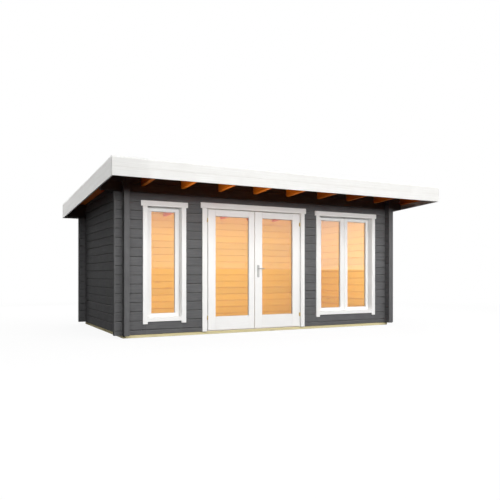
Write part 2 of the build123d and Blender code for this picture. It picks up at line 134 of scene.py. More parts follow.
panel("top_panel", (0.0, 0.0, 9.8), (0.0, 0.0, 0.0), 16.0, 12.0, 1.0, mirrored=False)
canopy_strip = panel(
    "canopy_strip", (-0.6, -1.52, 0.012), (0.4, -1.52, 2.0), 0.4, 4.4, 1.15, mirrored=False, spread=36.0
)
ROOM_WHITE = "#fff6e6"
panel("room_back_panel", (0.0, -0.75, 1.15), (0.0, 1.6, 1.15), 4.6, 1.9, 1.22, ROOM_WHITE, mirrored=False)
panel("room_top_panel", (0.0, 0.3, 2.04), (0.0, 0.3, 0.0), 4.4, 2.0, 0.66, ROOM_WHITE, mirrored=False)


def seen_directly(tree):
    """1 for rays from the camera or by way of glass and metal, 0 for light on its way to a surface."""
    path = add(tree, "ShaderNodeLightPath").outputs
    either = add(
        tree, "ShaderNodeMath", {0: path["Is Camera Ray"], 1: path["Is Glossy Ray"]}, operation="MAXIMUM"
    ).outputs[0]
    return add(
        tree, "ShaderNodeMath", {0: either, 1: path["Is Transmission Ray"]}, operation="MAXIMUM"
    ).outputs[0]


world = bpy.data.worlds.new("studio")
scene.world = world
world.use_nodes = True
tree = world.node_tree
tree.nodes.clear()
dim = add(tree, "ShaderNodeBackground", {"Color": linear("#f4f6fa"), "Strength": 0.01}).outputs[0]
white = add(tree, "ShaderNodeBackground", {"Color": linear("#ffffff"), "Strength": 1.0}).outputs[0]
mixed = add(tree, "ShaderNodeMixShader", {0: seen_directly(tree), 1: dim, 2: white}).outputs[0]
add(tree, "ShaderNodeOutputWorld", {"Surface": mixed})

# Floor: looks white, keeps a soft shadow near the object and fades to the background's white far out
FLOOR_HALF = 60.0
FLOOR_DROP = 0.002
SHADE_RADIUS = 4.0
FADE_RADIUS = 12.0
floor_material = bpy.data.materials.new("pale_studio_floor")
floor_material.use_nodes = True
tree = floor_material.node_tree
tree.nodes.clear()
place = add(tree, "ShaderNodeTexCoord").outputs["Object"]
distance = add(tree, "ShaderNodeVectorMath", {0: place}, operation="LENGTH").outputs["Value"]
glow_share = add(
    tree,
    "ShaderNodeMapRange",
    {"Value": distance, "From Min": SHADE_RADIUS, "From Max": FADE_RADIUS, "To Min": 0.9, "To Max": 1.0},
    interpolation_type="SMOOTHSTEP",
).outputs[0]
share = add(tree, "ShaderNodeMath", {0: seen_directly(tree), 1: glow_share}, operation="MULTIPLY").outputs[0]
by_camera = add(tree, "ShaderNodeLightPath").outputs["Is Camera Ray"]
matt_colour = add(
    tree,
    "ShaderNodeMix",
    {0: by_camera, 6: linear("#242424"), 7: linear("#ffffff")},
    data_type="RGBA",
).outputs[2]
matt = add(tree, "ShaderNodeBsdfDiffuse", {"Color": matt_colour}).outputs[0]
glow = add(tree, "ShaderNodeEmission", {"Color": linear("#ffffff"), "Strength": 1.0}).outputs[0]
mixed = add(tree, "ShaderNodeMixShader", {0: share, 1: matt, 2: glow}).outputs[0]
add(tree, "ShaderNodeOutputMaterial", {"Surface": mixed})
floor_mesh = bpy.data.meshes.new("studio_floor")
floor_mesh.from_pydata(
    [(x * FLOOR_HALF, y * FLOOR_HALF, -FLOOR_DROP) for x, y in ((-1, -1), (1, -1), (1, 1), (-1, 1))],
    [],
    [(0, 1, 2, 3)],
)
floor_mesh.materials.append(floor_material)
link_object(bpy.data.objects.new("studio_floor", floor_mesh))


# Finishes. Timber pieces carry three attributes: "grain" is the place inside the board in metres with the
# first axis along the grain, "tone" is one value a board, and "edge" is 1 on the rounded arrises.
def new_material(name):
    material = bpy.data.materials.new(name)
    material.use_nodes = True
    material.node_tree.nodes.clear()
    return material, material.node_tree


def timber_figure(tree, ring_mm, streak_mm):
    """Growth rings round an axis along the board, and fine fibres that are forty times as long as wide."""
    place = add(tree, "ShaderNodeAttribute", attribute_name="grain").outputs["Vector"]
    slow = add(tree, "ShaderNodeMapping", {"Vector": place, "Scale": (0.08, 1.0, 1.0)}).outputs[0]
    rings = add(
        tree,
        "ShaderNodeTexWave",
        {"Vector": slow, "Scale": 314 / ring_mm, "Distortion": 5.0, "Detail": 2.0, "Detail Scale": 0.6},
        wave_type="RINGS",
        rings_direction="X",
    ).outputs["Fac"]
    fibre = add(tree, "ShaderNodeMapping", {"Vector": place, "Scale": (0.025, 1.0, 1.0)}).outputs[0]
    streaks = add(
        tree, "ShaderNodeTexNoise", {"Vector": fibre, "Scale": 1000 / streak_mm, "Detail": 3.0}
    ).outputs["Fac"]
    return place, rings, streaks


def painted_timber(name, colour, deep, worn, roughness, streak_mm, relief_mm, tone_spread, gloss):
    """Paint on planed wood: the fibres and rings show as relief, boards differ a little in tone."""
    material, tree = new_material(name)
    place, rings, streaks = timber_figure(tree, 9.0, streak_mm)
    tone = add(tree, "ShaderNodeAttribute", attribute_name="tone").outputs["Fac"]
    edge = add(tree, "ShaderNodeAttribute", attribute_name="edge").outputs["Fac"]
    cloud = add(tree, "ShaderNodeTexNoise", {"Vector": place, "Scale": 7.0, "Detail": 4.0}).outputs["Fac"]
    thick = add(tree, "ShaderNodeMapRange", {"Value": streaks, "From Min": 0.3, "From Max": 0.75}).outputs[0]
    base = add(
        tree, "ShaderNodeMix", {0: thick, 6: linear(deep), 7: linear(colour)}, data_type="RGBA"
    ).outputs[2]
    patch = add(tree, "ShaderNodeMapRange", {"Value": cloud, "From Min": 0.35, "From Max": 0.9}).outputs[0]
    base = add(tree, "ShaderNodeMix", {0: patch, 6: base, 7: linear(deep)}, data_type="RGBA").outputs[2]
    bright = add(
        tree, "ShaderNodeMapRange", {"Value": tone, "To Min": 1 - tone_spread, "To Max": 1 + tone_spread}
    ).outputs[0]
    base = add(
        tree, "ShaderNodeMix", {0: 1.0, 6: base, 7: bright}, data_type="RGBA", blend_type="MULTIPLY"
    ).outputs[2]
    rubbed = add(tree, "ShaderNodeMapRange", {"Value": cloud, "From Min": 0.35, "From Max": 0.65}).outputs[0]
    wear = add(tree, "ShaderNodeMath", {0: edge, 1: rubbed}, operation="MULTIPLY").outputs[0]
    base = add(tree, "ShaderNodeMix", {0: wear, 6: base, 7: linear(worn)}, data_type="RGBA").outputs[2]
    height = add(tree, "ShaderNodeMath", {0: rings, 1: 0.35, 2: streaks}, operation="MULTIPLY_ADD").outputs[0]
    bump = add(
        tree, "ShaderNodeBump", {"Height": height, "Strength": 0.8, "Distance": relief_mm / 1000}
    ).outputs[0]
    rough = add(
        tree,
        "ShaderNodeMapRange",
        {"Value": streaks, "To Min": roughness - 0.07, "To Max": roughness + 0.1},
    ).outputs[0]
    shader = add(
        tree,
        "ShaderNodeBsdfPrincipled",
        {"Base Color": base, "Roughness": rough, "Normal": bump, "Specular IOR Level": gloss},
    ).outputs[0]
    add(tree, "ShaderNodeOutputMaterial", {"Surface": shader})
    return material


def bare_timber(name, pale, late, knot, roughness, ring_mm, relief_mm):
    """Planed softwood: pale early wood, darker late wood in rings, knots, and a tone for each board."""
    material, tree = new_material(name)
    place, rings, streaks = timber_figure(tree, ring_mm, 2.5)
    tone = add(tree, "ShaderNodeAttribute", attribute_name="tone").outputs["Fac"]
    edge = add(tree, "ShaderNodeAttribute", attribute_name="edge").outputs["Fac"]
    late_share = add(
        tree, "ShaderNodeMapRange", {"Value": rings, "From Min": 0.4, "From Max": 1.0, "To Max": 0.75}
    ).outputs[0]
    base = add(
        tree, "ShaderNodeMix", {0: late_share, 6: linear(pale), 7: linear(late)}, data_type="RGBA"
    ).outputs[2]
    pores = add(
        tree, "ShaderNodeMapRange", {"Value": streaks, "From Min": 0.5, "From Max": 0.25, "To Max": 0.5}
    ).outputs[0]
    base = add(tree, "ShaderNodeMix", {0: pores, 6: base, 7: linear(late)}, data_type="RGBA").outputs[2]
    cells = add(tree, "ShaderNodeMapping", {"Vector": place, "Scale": (1.1, 7.0, 7.0)}).outputs[0]
    near = add(tree, "ShaderNodeTexVoronoi", {"Vector": cells, "Scale": 1.0}).outputs["Distance"]
    heart = add(
        tree, "ShaderNodeMapRange", {"Value": near, "From Min": 0.1, "From Max": 0.03, "To Max": 0.65}
    ).outputs[0]
    base = add(tree, "ShaderNodeMix", {0: heart, 6: base, 7: linear(knot)}, data_type="RGBA").outputs[2]
    bright = add(tree, "ShaderNodeMapRange", {"Value": tone, "To Min": 0.92, "To Max": 1.06}).outputs[0]
    base = add(
        tree, "ShaderNodeMix", {0: 1.0, 6: base, 7: bright}, data_type="RGBA", blend_type="MULTIPLY"
    ).outputs[2]
    base = add(tree, "ShaderNodeMix", {0: edge, 6: base, 7: linear(late)}, data_type="RGBA").outputs[2]
    height = add(tree, "ShaderNodeMath", {0: rings, 1: 0.6, 2: streaks}, operation="MULTIPLY_ADD").outputs[0]
    bump = add(
        tree, "ShaderNodeBump", {"Height": height, "Strength": 0.7, "Distance": relief_mm / 1000}
    ).outputs[0]
    rough = add(
        tree,
        "ShaderNodeMapRange",
        {"Value": rings, "To Min": roughness + 0.06, "To Max": roughness - 0.06},
    ).outputs[0]
    shader = add(
        tree,
        "ShaderNodeBsdfPrincipled",
        {"Base Color": base, "Roughness": rough, "Normal": bump, "Specular IOR Level": 0.3},
    ).outputs[0]
    add(tree, "ShaderNodeOutputMaterial", {"Surface": shader})
    return material


# Dark grey water-based paint brushed on planed spruce logs: matt, with the fibres showing through. Real
# brush marks are about 2 mm wide and are drawn at 7 mm, so that they show from where the camera stands.
log_paint = painted_timber(
    "grey_paint_on_planed_spruce", "#747475", "#606061", "#8a8986", 0.8, 7.0, 0.5, 0.05, 0.03
)
# White satin paint sprayed on planed joinery: smooth, faint fibres, arrises a little thin
white_paint = painted_timber(
    "white_satin_paint_on_joinery", "#f9f9f7", "#f3f2f0", "#e6e4df", 0.4, 6.0, 0.18, 0.01, 0.4
)
# White paint on rough fascia boards: the same white paint as the joinery, drawn darker as painted shade
# because the fascia stands in more light than the joinery under the roof; a deeper sawn relief
fascia_paint = painted_timber(
    "white_paint_on_fine_sawn_boards", "#e1e1df", "#d5d4d1", "#dedbd5", 0.6, 12.0, 0.5, 0.012, 0.25
)
# Planed spruce left bare inside: honey-coloured, satin where the plane burnished it
bare_pine = bare_timber("bare_planed_spruce", "#f6da66", "#eeb94a", "#b87430", 0.5, 7.0, 0.2)
# Spruce rafters and roof boards in an orange-brown priming stain: deeper colour, the figure still shows
stained_pine = bare_timber("orange_stained_spruce", "#f4861f", "#d2620f", "#7a3206", 0.55, 8.0, 0.3)
# Sawn beams, pressure-impregnated: pale yellow-green, rough from the saw
treated_beam = bare_timber("impregnated_sawn_spruce", "#e8dcae", "#cdbf8b", "#93824f", 0.75, 6.0, 0.6)


def metal(name, colour, dark, roughness, brush_mm, direction):
    """Metal with fine brush marks across one direction: the marks change roughness and relief."""
    material, tree = new_material(name)
    place = add(tree, "ShaderNodeTexCoord").outputs["Object"]
    marks = add(tree, "ShaderNodeMapping", {"Vector": place, "Scale": direction}).outputs[0]
    noise = add(
        tree, "ShaderNodeTexNoise", {"Vector": marks, "Scale": 1000 / brush_mm, "Detail": 2.0}
    ).outputs["Fac"]
    shiny = add(tree, "ShaderNodeMapRange", {"Value": noise, "From Min": 0.35, "From Max": 0.7}).outputs[0]
    base = add(
        tree, "ShaderNodeMix", {0: shiny, 6: linear(dark), 7: linear(colour)}, data_type="RGBA"
    ).outputs[2]
    rough = add(
        tree, "ShaderNodeMapRange", {"Value": noise, "To Min": roughness - 0.08, "To Max": roughness + 0.12}
    ).outputs[0]
    bump = add(tree, "ShaderNodeBump", {"Height": noise, "Strength": 0.3, "Distance": 0.00005}).outputs[0]
    shader = add(
        tree,
        "ShaderNodeBsdfPrincipled",
        {"Base Color": base, "Roughness": rough, "Normal": bump, "Metallic": 1.0},
    ).outputs[0]
    add(tree, "ShaderNodeOutputMaterial", {"Surface": shader})
    return material


# Satin stainless steel, brushed along the plate: soft streaky gloss
steel = metal("brushed_stainless_steel", "#c9c8c6", "#a9a8a6", 0.3, 0.8, (1.0, 1.0, 0.05))
# Yellow-passivated steel hinges: dull gold with fine rings from the lathe
yellow_steel = metal("yellow_passivated_steel", "#f0dca6", "#d8bf80", 0.5, 0.6, (0.05, 0.05, 1.0))
# White lacquered aluminium bars between the panes and on the threshold: pale, satin
spacer_metal = metal("white_lacquered_aluminium", "#e9ecee", "#dcdfe1", 0.4, 1.5, (0.05, 1.0, 1.0))


def coated(name, colour, dark, roughness, speck_mm, relief_mm):
    """Coloured coat with a fine mottle: specks of a second tone give a little relief."""
    material, tree = new_material(name)
    place = add(tree, "ShaderNodeTexCoord").outputs["Object"]
    specks = add(
        tree, "ShaderNodeTexNoise", {"Vector": place, "Scale": 1000 / speck_mm, "Detail": 3.0}
    ).outputs["Fac"]
    stains = add(tree, "ShaderNodeTexNoise", {"Vector": place, "Scale": 1.7, "Detail": 5.0}).outputs["Fac"]
    pale = add(tree, "ShaderNodeMapRange", {"Value": specks, "From Min": 0.4, "From Max": 0.62}).outputs[0]
    base = add(
        tree, "ShaderNodeMix", {0: pale, 6: linear(dark), 7: linear(colour)}, data_type="RGBA"
    ).outputs[2]
    dull = add(tree, "ShaderNodeMapRange", {"Value": stains, "From Min": 0.5, "From Max": 0.8}).outputs[0]
    base = add(tree, "ShaderNodeMix", {0: dull, 6: base, 7: linear(dark)}, data_type="RGBA").outputs[2]
    rough = add(
        tree, "ShaderNodeMapRange", {"Value": specks, "To Min": roughness - 0.06, "To Max": roughness + 0.06}
    ).outputs[0]
    bump = add(
        tree, "ShaderNodeBump", {"Height": specks, "Strength": 0.6, "Distance": relief_mm / 1000}
    ).outputs[0]
    shader = add(
        tree, "ShaderNodeBsdfPrincipled", {"Base Color": base, "Roughness": rough, "Normal": bump}
    ).outputs[0]
    add(tree, "ShaderNodeOutputMaterial", {"Surface": shader})
    return material


# Mineral roofing felt: dark grey slate granules of 1 to 2 mm, drawn at 6 mm so that they show
felt = coated("mineral_roofing_felt", "#4b4c4e", "#2c2d2f", 0.85, 6.0, 1.0)
# Stove-enamelled aluminium trim: even pale grey, satin
trim_coat = coated("enamelled_aluminium_trim", "#f0f0ee", "#e2e2df", 0.4, 25.0, 0.05)
# White rubber glazing seal: matt and slightly dusty
rubber = coated("white_rubber_seal", "#e6e6e3", "#d6d5d2", 0.6, 4.0, 0.05)

# Float glass: clear, with the faint green of its iron, and waves too low to see but in reflections
glass, tree = new_material("clear_float_glass")
place = add(tree, "ShaderNodeTexCoord").outputs["Object"]
waves = add(tree, "ShaderNodeTexNoise", {"Vector": place, "Scale": 1.3, "Detail": 1.0}).outputs["Fac"]
tint = add(
    tree, "ShaderNodeMix", {0: waves, 6: linear("#fdfefd"), 7: linear("#f8fbf9")}, data_type="RGBA"
).outputs[2]
roller = add(tree, "ShaderNodeBump", {"Height": waves, "Strength": 0.15, "Distance": 0.002}).outputs[0]
shader = add(
    tree,
    "ShaderNodeBsdfPrincipled",
    {"Base Color": tint, "Roughness": 0.0, "Normal": roller, "Transmission Weight": 1.0, "IOR": 1.43},
).outputs[0]
add(tree, "ShaderNodeOutputMaterial", {"Surface": shader})


# Shapes. Every timber piece is a closed outline carried along a straight run.
TURN = {"x": (0, 1, 2), "y": (2, 0, 1), "z": (1, 2, 0)}
ARRIS = 0.0025
EASE = 0.3
ROOF_FALL_DEGREES = 3.1
SLOPE = math.tan(math.radians(ROOF_FALL_DEGREES))
fascia_low, fascia_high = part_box("fascia_front")
deck_front_top = fascia_high.z
roof_front = fascia_low.y


def deck_top(y):
    """Height of the roof boards' upper face: it falls evenly to the back."""
    return deck_front_top - SLOPE * (y - roof_front)


def carry(outline, along, inset, axis, edge, tone=None, slope=False, materials=None):
    """Closed outline carried along a run: point (i, j) = (along[i], outline[j] moved inset[i] inwards).

    The outline is given anticlockwise over the two axes that follow the run's own axis. With slope, every
    point drops by the roof's fall times its distance from the roof's front edge.
    """
    outline = np.asarray(outline, float)
    along = np.asarray(along, float)
    inset = np.asarray(inset, float)
    middle = (outline.max(0) + outline.min(0)) / 2
    ring = outline[None] - np.sign(outline - middle)[None] * inset[:, None, None]
    runs = np.broadcast_to(along[:, None, None], ring.shape[:2] + (1,))
    local = np.concatenate([runs, ring], 2).reshape(-1, 3)
    stations, count = len(along), len(outline)
    i, j = np.meshgrid(np.arange(stations - 1), np.arange(count), indexing="ij")
    k = (j + 1) % count
    here, there = i * count, (i + 1) * count
    quads = np.stack([here + j, here + k, there + k, there + j], -1).reshape(-1, 4)
    caps = [np.arange(count)[::-1], (stations - 1) * count + np.arange(count)]
    points = local[:, TURN[axis]]
    if slope:
        points = points - np.array([0, 0, SLOPE]) * (points[:, 1:2] - roof_front)
    shift = np.array([chance.uniform(0, 60), chance.uniform(-0.09, 0.09), chance.uniform(0.02, 0.14)])
    grain = local - np.array([along[0], *middle]) + shift
    worn = np.zeros((stations, count))
    worn[:, edge] = 1
    which = np.zeros((stations - 1, count), int) if materials is None else materials
    return {
        "points": points,
        "quads": quads,
        "caps": caps,
        "grain": grain,
        "tone": np.full(len(points), chance.uniform() if tone is None else tone),
        "edge": worn.reshape(-1),
        "which": np.concatenate([which.reshape(-1), [0, 0]]),
    }


def rounded_rectangle(low, high, radius, steps=2):
    """Outline of a rectangle with round corners: each corner is a quarter circle of steps + 1 points."""
    turn = np.linspace(0, math.pi / 2, steps + 1)
    corner = np.stack([np.cos(turn), np.sin(turn)], -1) * radius
    rows = []
    for number, (sx, sy) in enumerate(((1, 1), (-1, 1), (-1, -1), (1, -1))):
        centre_x = high[0] - radius if sx > 0 else low[0] + radius
        centre_y = high[1] - radius if sy > 0 else low[1] + radius
        angle = number * math.pi / 2
        spin = np.array([[math.cos(angle), math.sin(angle)], [-math.sin(angle), math.cos(angle)]])
        rows.append((centre_x, centre_y) + corner @ spin)
    return np.concatenate(rows)


def board(x0, x1, y0, y1, z0, z1, axis, radius=ARRIS, slope=False, tone=None):
    """Straight board with rounded arrises, its grain along the named axis; its ends draw in in two steps."""
    limits = {"x": (x0, x1), "y": (y0, y1), "z": (z0, z1)}
    order = {"x": "xyz", "y": "yzx", "z": "zxy"}[axis]
    (a0, a1), (b0, b1), (c0, c1) = (limits[name] for name in order)
    outline = rounded_rectangle((b0, c0), (b1, c1), radius)
    along = [a0, a0 + EASE * radius, a0 + radius, a1 - radius, a1 - EASE * radius, a1]
    inset = [radius, EASE * radius, 0, 0, EASE * radius, radius]
    edge = np.arange(1, len(outline), 3)
    return carry(outline, along, inset, axis, edge, tone, slope)


def piece(name, parts, materials, nodes=(), body="cabin", smooth=False):
    """Joins parts into one mesh with its attributes, and puts it on its body."""
    start = np.cumsum([0] + [len(p["points"]) for p in parts])
    faces, which = [], []
    for offset, part in zip(start, parts):
        faces += (part["quads"] + offset).tolist()
        faces += [(cap + offset).tolist() for cap in part["caps"]]
        which.append(part["which"])
    mesh = bpy.data.meshes.new(name)
    mesh.from_pydata(np.concatenate([p["points"] for p in parts]).tolist(), [], faces)
    for key, kind in (("grain", "FLOAT_VECTOR"), ("tone", "FLOAT"), ("edge", "FLOAT")):
        values = np.concatenate([p[key] for p in parts]).astype(np.float32)
        target = mesh.attributes.new(key, kind, "POINT")
        target.data.foreach_set("vector" if kind == "FLOAT_VECTOR" else "value", values.reshape(-1))
    for material in materials:
        mesh.materials.append(material)
    mesh.polygons.foreach_set("material_index", np.concatenate(which).astype(np.int32))
    mesh.polygons.foreach_set("use_smooth", np.full(len(mesh.polygons), smooth))
    mesh.update()
    obj = link_object(bpy.data.objects.new(name, mesh))
    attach(obj, body)
    if nodes:
        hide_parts(*nodes)
    return obj


def span(node):
    low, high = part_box(node)
    return low.x, high.x, low.y, high.y, low.z, high.z


# Places taken from the frame
wall_left, room_left = span("left_wall")[0:2]
room_right, wall_right = span("right_wall")[0:2]
wall_front, room_front = span("front_wall_over_openings")[2:4]
room_back, wall_back = span("back_wall")[2:4]
wall_base = span("left_wall")[4]
band_bottom, front_band_top = span("front_wall_over_openings")[4:6]
back_band_top = span("back_wall")[5]
outer_left = span("front_wall_left_pier")[0]
outer_right = span("front_wall_right_pier")[1]
side_front, side_back = span("left_wall")[2:4]

# Logs. SEAM and PLAIN are one corner of a log's section as (depth, height): a slot and a rounded bevel
# where another log follows, or a slight arris.
LOG_PITCH = 0.135
LOG_DEPTH = 0.07
FRONT_SEAM = wall_base + LOG_PITCH / 2
SIDE_SEAM = wall_base + LOG_PITCH
LEAST_LOG = 0.009
LEAST_LOG_END = 0.006
LOG_END = 0.002
ARRIS_DEPTH = (0.0002, 0.0012)
FINISH_OVERLAP = 0.01
DECK = 0.019
SEAM = np.array([
    (0.018, 0.0), (0.018, 0.0028), (0.006, 0.003), (0.0026, 0.0048), (0.0007, 0.0075), (0.0, 0.0105)
])
PLAIN = np.array([(0.0015, 0.0), (0.0004, 0.0004), (0.0, 0.0015)])


def log_outline(thickness, low, high, seam_below, seam_above):
    """Section of one log over (depth, height): one corner shape at each seam, mirrored to the other face."""
    below = SEAM if seam_below else PLAIN
    above = SEAM if seam_above else PLAIN
    left_below = below + (0, low)
    right_below = (thickness, 0) + below[::-1] * (-1, 1) + (0, low)
    left_above = above[::-1] * (1, -1) + (0, high)
    right_above = (thickness, 0) + above * (-1, -1) + (0, high)
    return np.concatenate([right_below, right_above[::-1], left_above[::-1], left_below[::-1]])


def courses(bottom, top, first_seam):
    """Low and high edge of every log between two heights, and whether a seam lies there."""
    seams = np.arange(first_seam, top - LEAST_LOG, LOG_PITCH)
    seams = seams[seams > bottom + LEAST_LOG]
    levels = [bottom, *seams.tolist(), top]
    last = len(levels) - 2
    return [(levels[n], levels[n + 1], n > 0, n < last) for n in range(last + 1)]


def log(a0, a1, low, high, below, above, depth0, axis, room_side, room):
    """One log: painted, but bare on its room side between the two places given by room."""
    thickness = room_front - wall_front
    outline = log_outline(thickness, low, high, below, above)
    from_face = np.minimum(outline[:, 0], thickness - outline[:, 0])
    worn = np.flatnonzero((from_face > ARRIS_DEPTH[0]) & (from_face < ARRIS_DEPTH[1]))
    along = [a0, a0 + LOG_END, a1 - LOG_END, a1]
    inset = [LOG_END / 2, 0.0, 0.0, LOG_END / 2]
    if room is not None:
        cuts = [value for value in room if a0 + 2 * LOG_END < value < a1 - 2 * LOG_END]
        along = along[:2] + cuts + along[2:]
        inset = inset[:2] + [0.0] * len(cuts) + inset[2:]
    middle_depth = (outline[:, 0] + np.roll(outline[:, 0], -1)) / 2
    inner = middle_depth > thickness / 2 if room_side > 0 else middle_depth < thickness / 2
    which = np.zeros((len(along) - 1, len(outline)), int)
    if room is not None:
        centres = (np.array(along[1:]) + np.array(along[:-1])) / 2
        inside = (centres > room[0]) & (centres < room[1])
        which = (inside[:, None] & inner[None]).astype(int)
    outline = outline + (depth0, 0)
    if axis == "y":
        outline = outline[::-1, ::-1]
        which = np.roll(which[:, ::-1], -1, axis=1)
        worn = len(outline) - 1 - worn
    return carry(outline, along, inset, axis, worn, materials=which)


def front_logs(x0, x1, bottom, top, face, room_side, room=None):
    return [log(x0, x1, *c, face, "x", room_side, room) for c in courses(bottom, top, FRONT_SEAM)]


LOG_FINISH = (log_paint, bare_pine)
room_x = (room_left - FINISH_OVERLAP, room_right + FINISH_OVERLAP)
single_frame_left = span("single_window_frame")[0]
double_frame_right = span("double_window_frame")[1]
pieces_of_front = {
    "front_wall_left_pier": [
        (outer_left, wall_left, wall_base, front_band_top, None),
        (room_left, single_frame_left, wall_base, band_bottom, room_x),
    ],
    "front_wall_right_pier": [
        (double_frame_right, room_right, wall_base, band_bottom, room_x),
        (wall_right, outer_right, wall_base, front_band_top, None),
    ],
}
for node in (
    "front_wall_left_of_door",
    "front_wall_right_of_door",
    "front_wall_under_single_window",
    "front_wall_under_double_window",
    "front_wall_over_openings",
):
    x0, x1, _, _, z0, z1 = span(node)
    pieces_of_front[node] = [(x0, x1, z0, z1, room_x)]
for node, spans in pieces_of_front.items():
    parts = []
    for x0, x1, z0, z1, room in spans:
        parts += front_logs(x0, x1, z0, z1, wall_front, 1, room)
    piece(node + "_logs", parts, LOG_FINISH, [node])

parts = front_logs(room_left, room_right, wall_base, back_band_top, room_back, -1, room_x)
parts += front_logs(outer_left, wall_left, wall_base, back_band_top, room_back, -1)
parts += front_logs(wall_right, outer_right, wall_base, back_band_top, room_back, -1)
piece("back_wall_logs", parts, LOG_FINISH, ["back_wall"])


def side_logs(face, room_side):
    """Logs of a side wall: those under the roof boards end or are cut where the boards come down."""
    parts = []
    room = (room_front, room_back)
    for low, high, below, above in courses(wall_base, deck_top(side_front) - DECK, SIDE_SEAM):
        end = min(side_back, roof_front + (deck_front_top - DECK - low - LEAST_LOG_END) / SLOPE)
        made = log(side_front, end, low, high, below, above, face, "y", room_side, room)
        limit = deck_top(made["points"][:, 1]) - DECK
        made["points"][:, 2] = np.minimum(made["points"][:, 2], limit)
        parts.append(made)
    return parts


piece("left_wall_logs", side_logs(wall_left, 1), LOG_FINISH, ["left_wall"])
piece("right_wall_logs", side_logs(room_right, -1), LOG_FINISH, ["right_wall"])


# Top logs with the boards that close the gaps between the rafters
RAFTER_COUNT = 10
RAFTER_WIDTH = 0.058
RAFTER_DEPTH = 0.148
LEAST_INFILL = 0.01
rafters_left, rafters_right, rafters_front, rafters_back = span("rafters")[:4]
rafter_steps = np.linspace(rafters_left, rafters_right - RAFTER_WIDTH, RAFTER_COUNT)


def top_log(node, face, bottom, room_side):
    """Log on top of a wall, and above it the short boards between the rafters, up to the roof boards."""
    reach_left, reach_right = span(node)[0:2]
    lengths = (
        (reach_left, wall_left, None), (room_left, room_right, room_x), (wall_right, reach_right, None)
    )
    middle = bottom + LOG_PITCH
    upper = deck_top(face + LOG_DEPTH) - DECK
    parts = []
    for x0, x1, room in lengths:
        parts.append(log(x0, x1, bottom, middle, True, True, face, "x", room_side, room))
        edges = [x0]
        for left in rafter_steps:
            if x0 < left + RAFTER_WIDTH and left < x1:
                edges += [left, left + RAFTER_WIDTH]
        edges.append(x1)
        for left, right in zip(edges[0::2], edges[1::2]):
            if right - left > LEAST_INFILL:
                parts.append(log(left, right, middle, upper, True, False, face, "x", room_side, room))
    return piece(node + "_and_infill", parts, LOG_FINISH, [node])


top_log("front_top_log", wall_front, front_band_top, 1)
top_log("back_top_log", room_back, back_band_top, -1)

# Upright boards over the ends of the logs: the one on the side wall's end, and the one on the front's
END_BOARD = 0.018
END_BOARD_WIDTH = 0.078
END_BOARD_SPARE = (END_BOARD_WIDTH - LOG_DEPTH) / 2
END_BOARD_TONE = 0.9
for end, y_name in ((-1, "front"), (1, "back")):
    for side, x_name in ((-1, "left"), (1, "right")):
        node = f"end_boards_{y_name}_{x_name}"
        x0, x1, y0, y1, z0, z1 = span(node)
        face_x = wall_left if side < 0 else wall_right
        face_y = wall_front if end < 0 else wall_back
        inward = LOG_DEPTH + END_BOARD_SPARE
        gable_x = sorted((face_x + side * END_BOARD_SPARE, face_x - side * inward))
        wall_y = sorted((face_y + end * END_BOARD_SPARE, face_y - end * inward))
        gable_y = (y0, y0 + END_BOARD) if end < 0 else (y1 - END_BOARD, y1)
        wall_x = (x0, x0 + END_BOARD) if side < 0 else (x1 - END_BOARD, x1)
        gable_top = deck_top(gable_y[1]) - DECK
        wall_top = front_band_top if end < 0 else back_band_top
        parts = [
            board(*gable_x, *gable_y, z0, gable_top, "z", tone=END_BOARD_TONE),
            board(*wall_x, *wall_y, z0, wall_top, "z", tone=END_BOARD_TONE),
        ]
        piece(node + "_painted", parts, (log_paint,), [node])

# Ground beams, joists and floor
BEAM = 0.1
BEAM_ARRIS = 0.003
x0, x1, y0, y1, z0, z1 = span("foundation_front_back_beams")
parts = [
    board(x0, x1, y0, y0 + BEAM, z0, z1, "x", BEAM_ARRIS),
    board(x0, x1, y1 - BEAM, y1, z0, z1, "x", BEAM_ARRIS),
]
piece("foundation_beams_sawn", parts, (treated_beam,), ["foundation_front_back_beams"])
JOIST_COUNT = 6
JOIST = 0.045
JOIST_ARRIS = 0.002
x0, x1, y0, y1, z0, z1 = span("foundation_joists")
parts = [
    board(x0, x0 + BEAM, y0, y1, z0, z1, "y", BEAM_ARRIS),
    board(x1 - BEAM, x1, y0, y1, z0, z1, "y", BEAM_ARRIS),
]
for middle in np.linspace(x0 + BEAM / 2, x1 - BEAM / 2, JOIST_COUNT + 2)[1:-1]:
    parts.append(board(middle - JOIST / 2, middle + JOIST / 2, y0, y1, z0, z1, "y", JOIST_ARRIS))
piece("foundation_joists_sawn", parts, (treated_beam,), ["foundation_joists"])
FLOOR_BOARDS = 22
FLOOR_JOINT = 0.0004
FLOOR_ARRIS = 0.0015
x0, x1, y0, y1, z0, z1 = span("floor")
edges = np.linspace(y0, y1, FLOOR_BOARDS + 1)
parts = [
    board(x0, x1, a + FLOOR_JOINT, b - FLOOR_JOINT, z0, z1, "x", FLOOR_ARRIS)
    for a, b in zip(edges[:-1], edges[1:])
]
piece("floor_boards", parts, (bare_pine,), ["floor"])

# Roof: rafters, tongued boards, felt in lapped sheets
ROOF_ARRIS = 0.003
deck_front_low = deck_front_top - DECK
parts = []
for left in rafter_steps:
    right = left + RAFTER_WIDTH
    low = deck_front_low - RAFTER_DEPTH
    parts.append(
        board(left, right, rafters_front, rafters_back, low, deck_front_low, "y", ROOF_ARRIS, slope=True)
    )
rafters = piece("rafters_planed", parts, (stained_pine,), ["rafters"])
ROOF_BOARDS = 40
ROOF_JOINT = 0.0003
x0, x1, y0, y1 = span("roof_boards")[:4]
edges = np.linspace(y0, y1, ROOF_BOARDS + 1)
parts = []
for front, back in zip(edges[:-1] + ROOF_JOINT, edges[1:] - ROOF_JOINT):
    parts.append(board(x0, x1, front, back, deck_front_low, deck_front_top, "x", ROOF_ARRIS, slope=True))
piece("roof_boards_tongued", parts, (stained_pine,), ["roof_boards"])


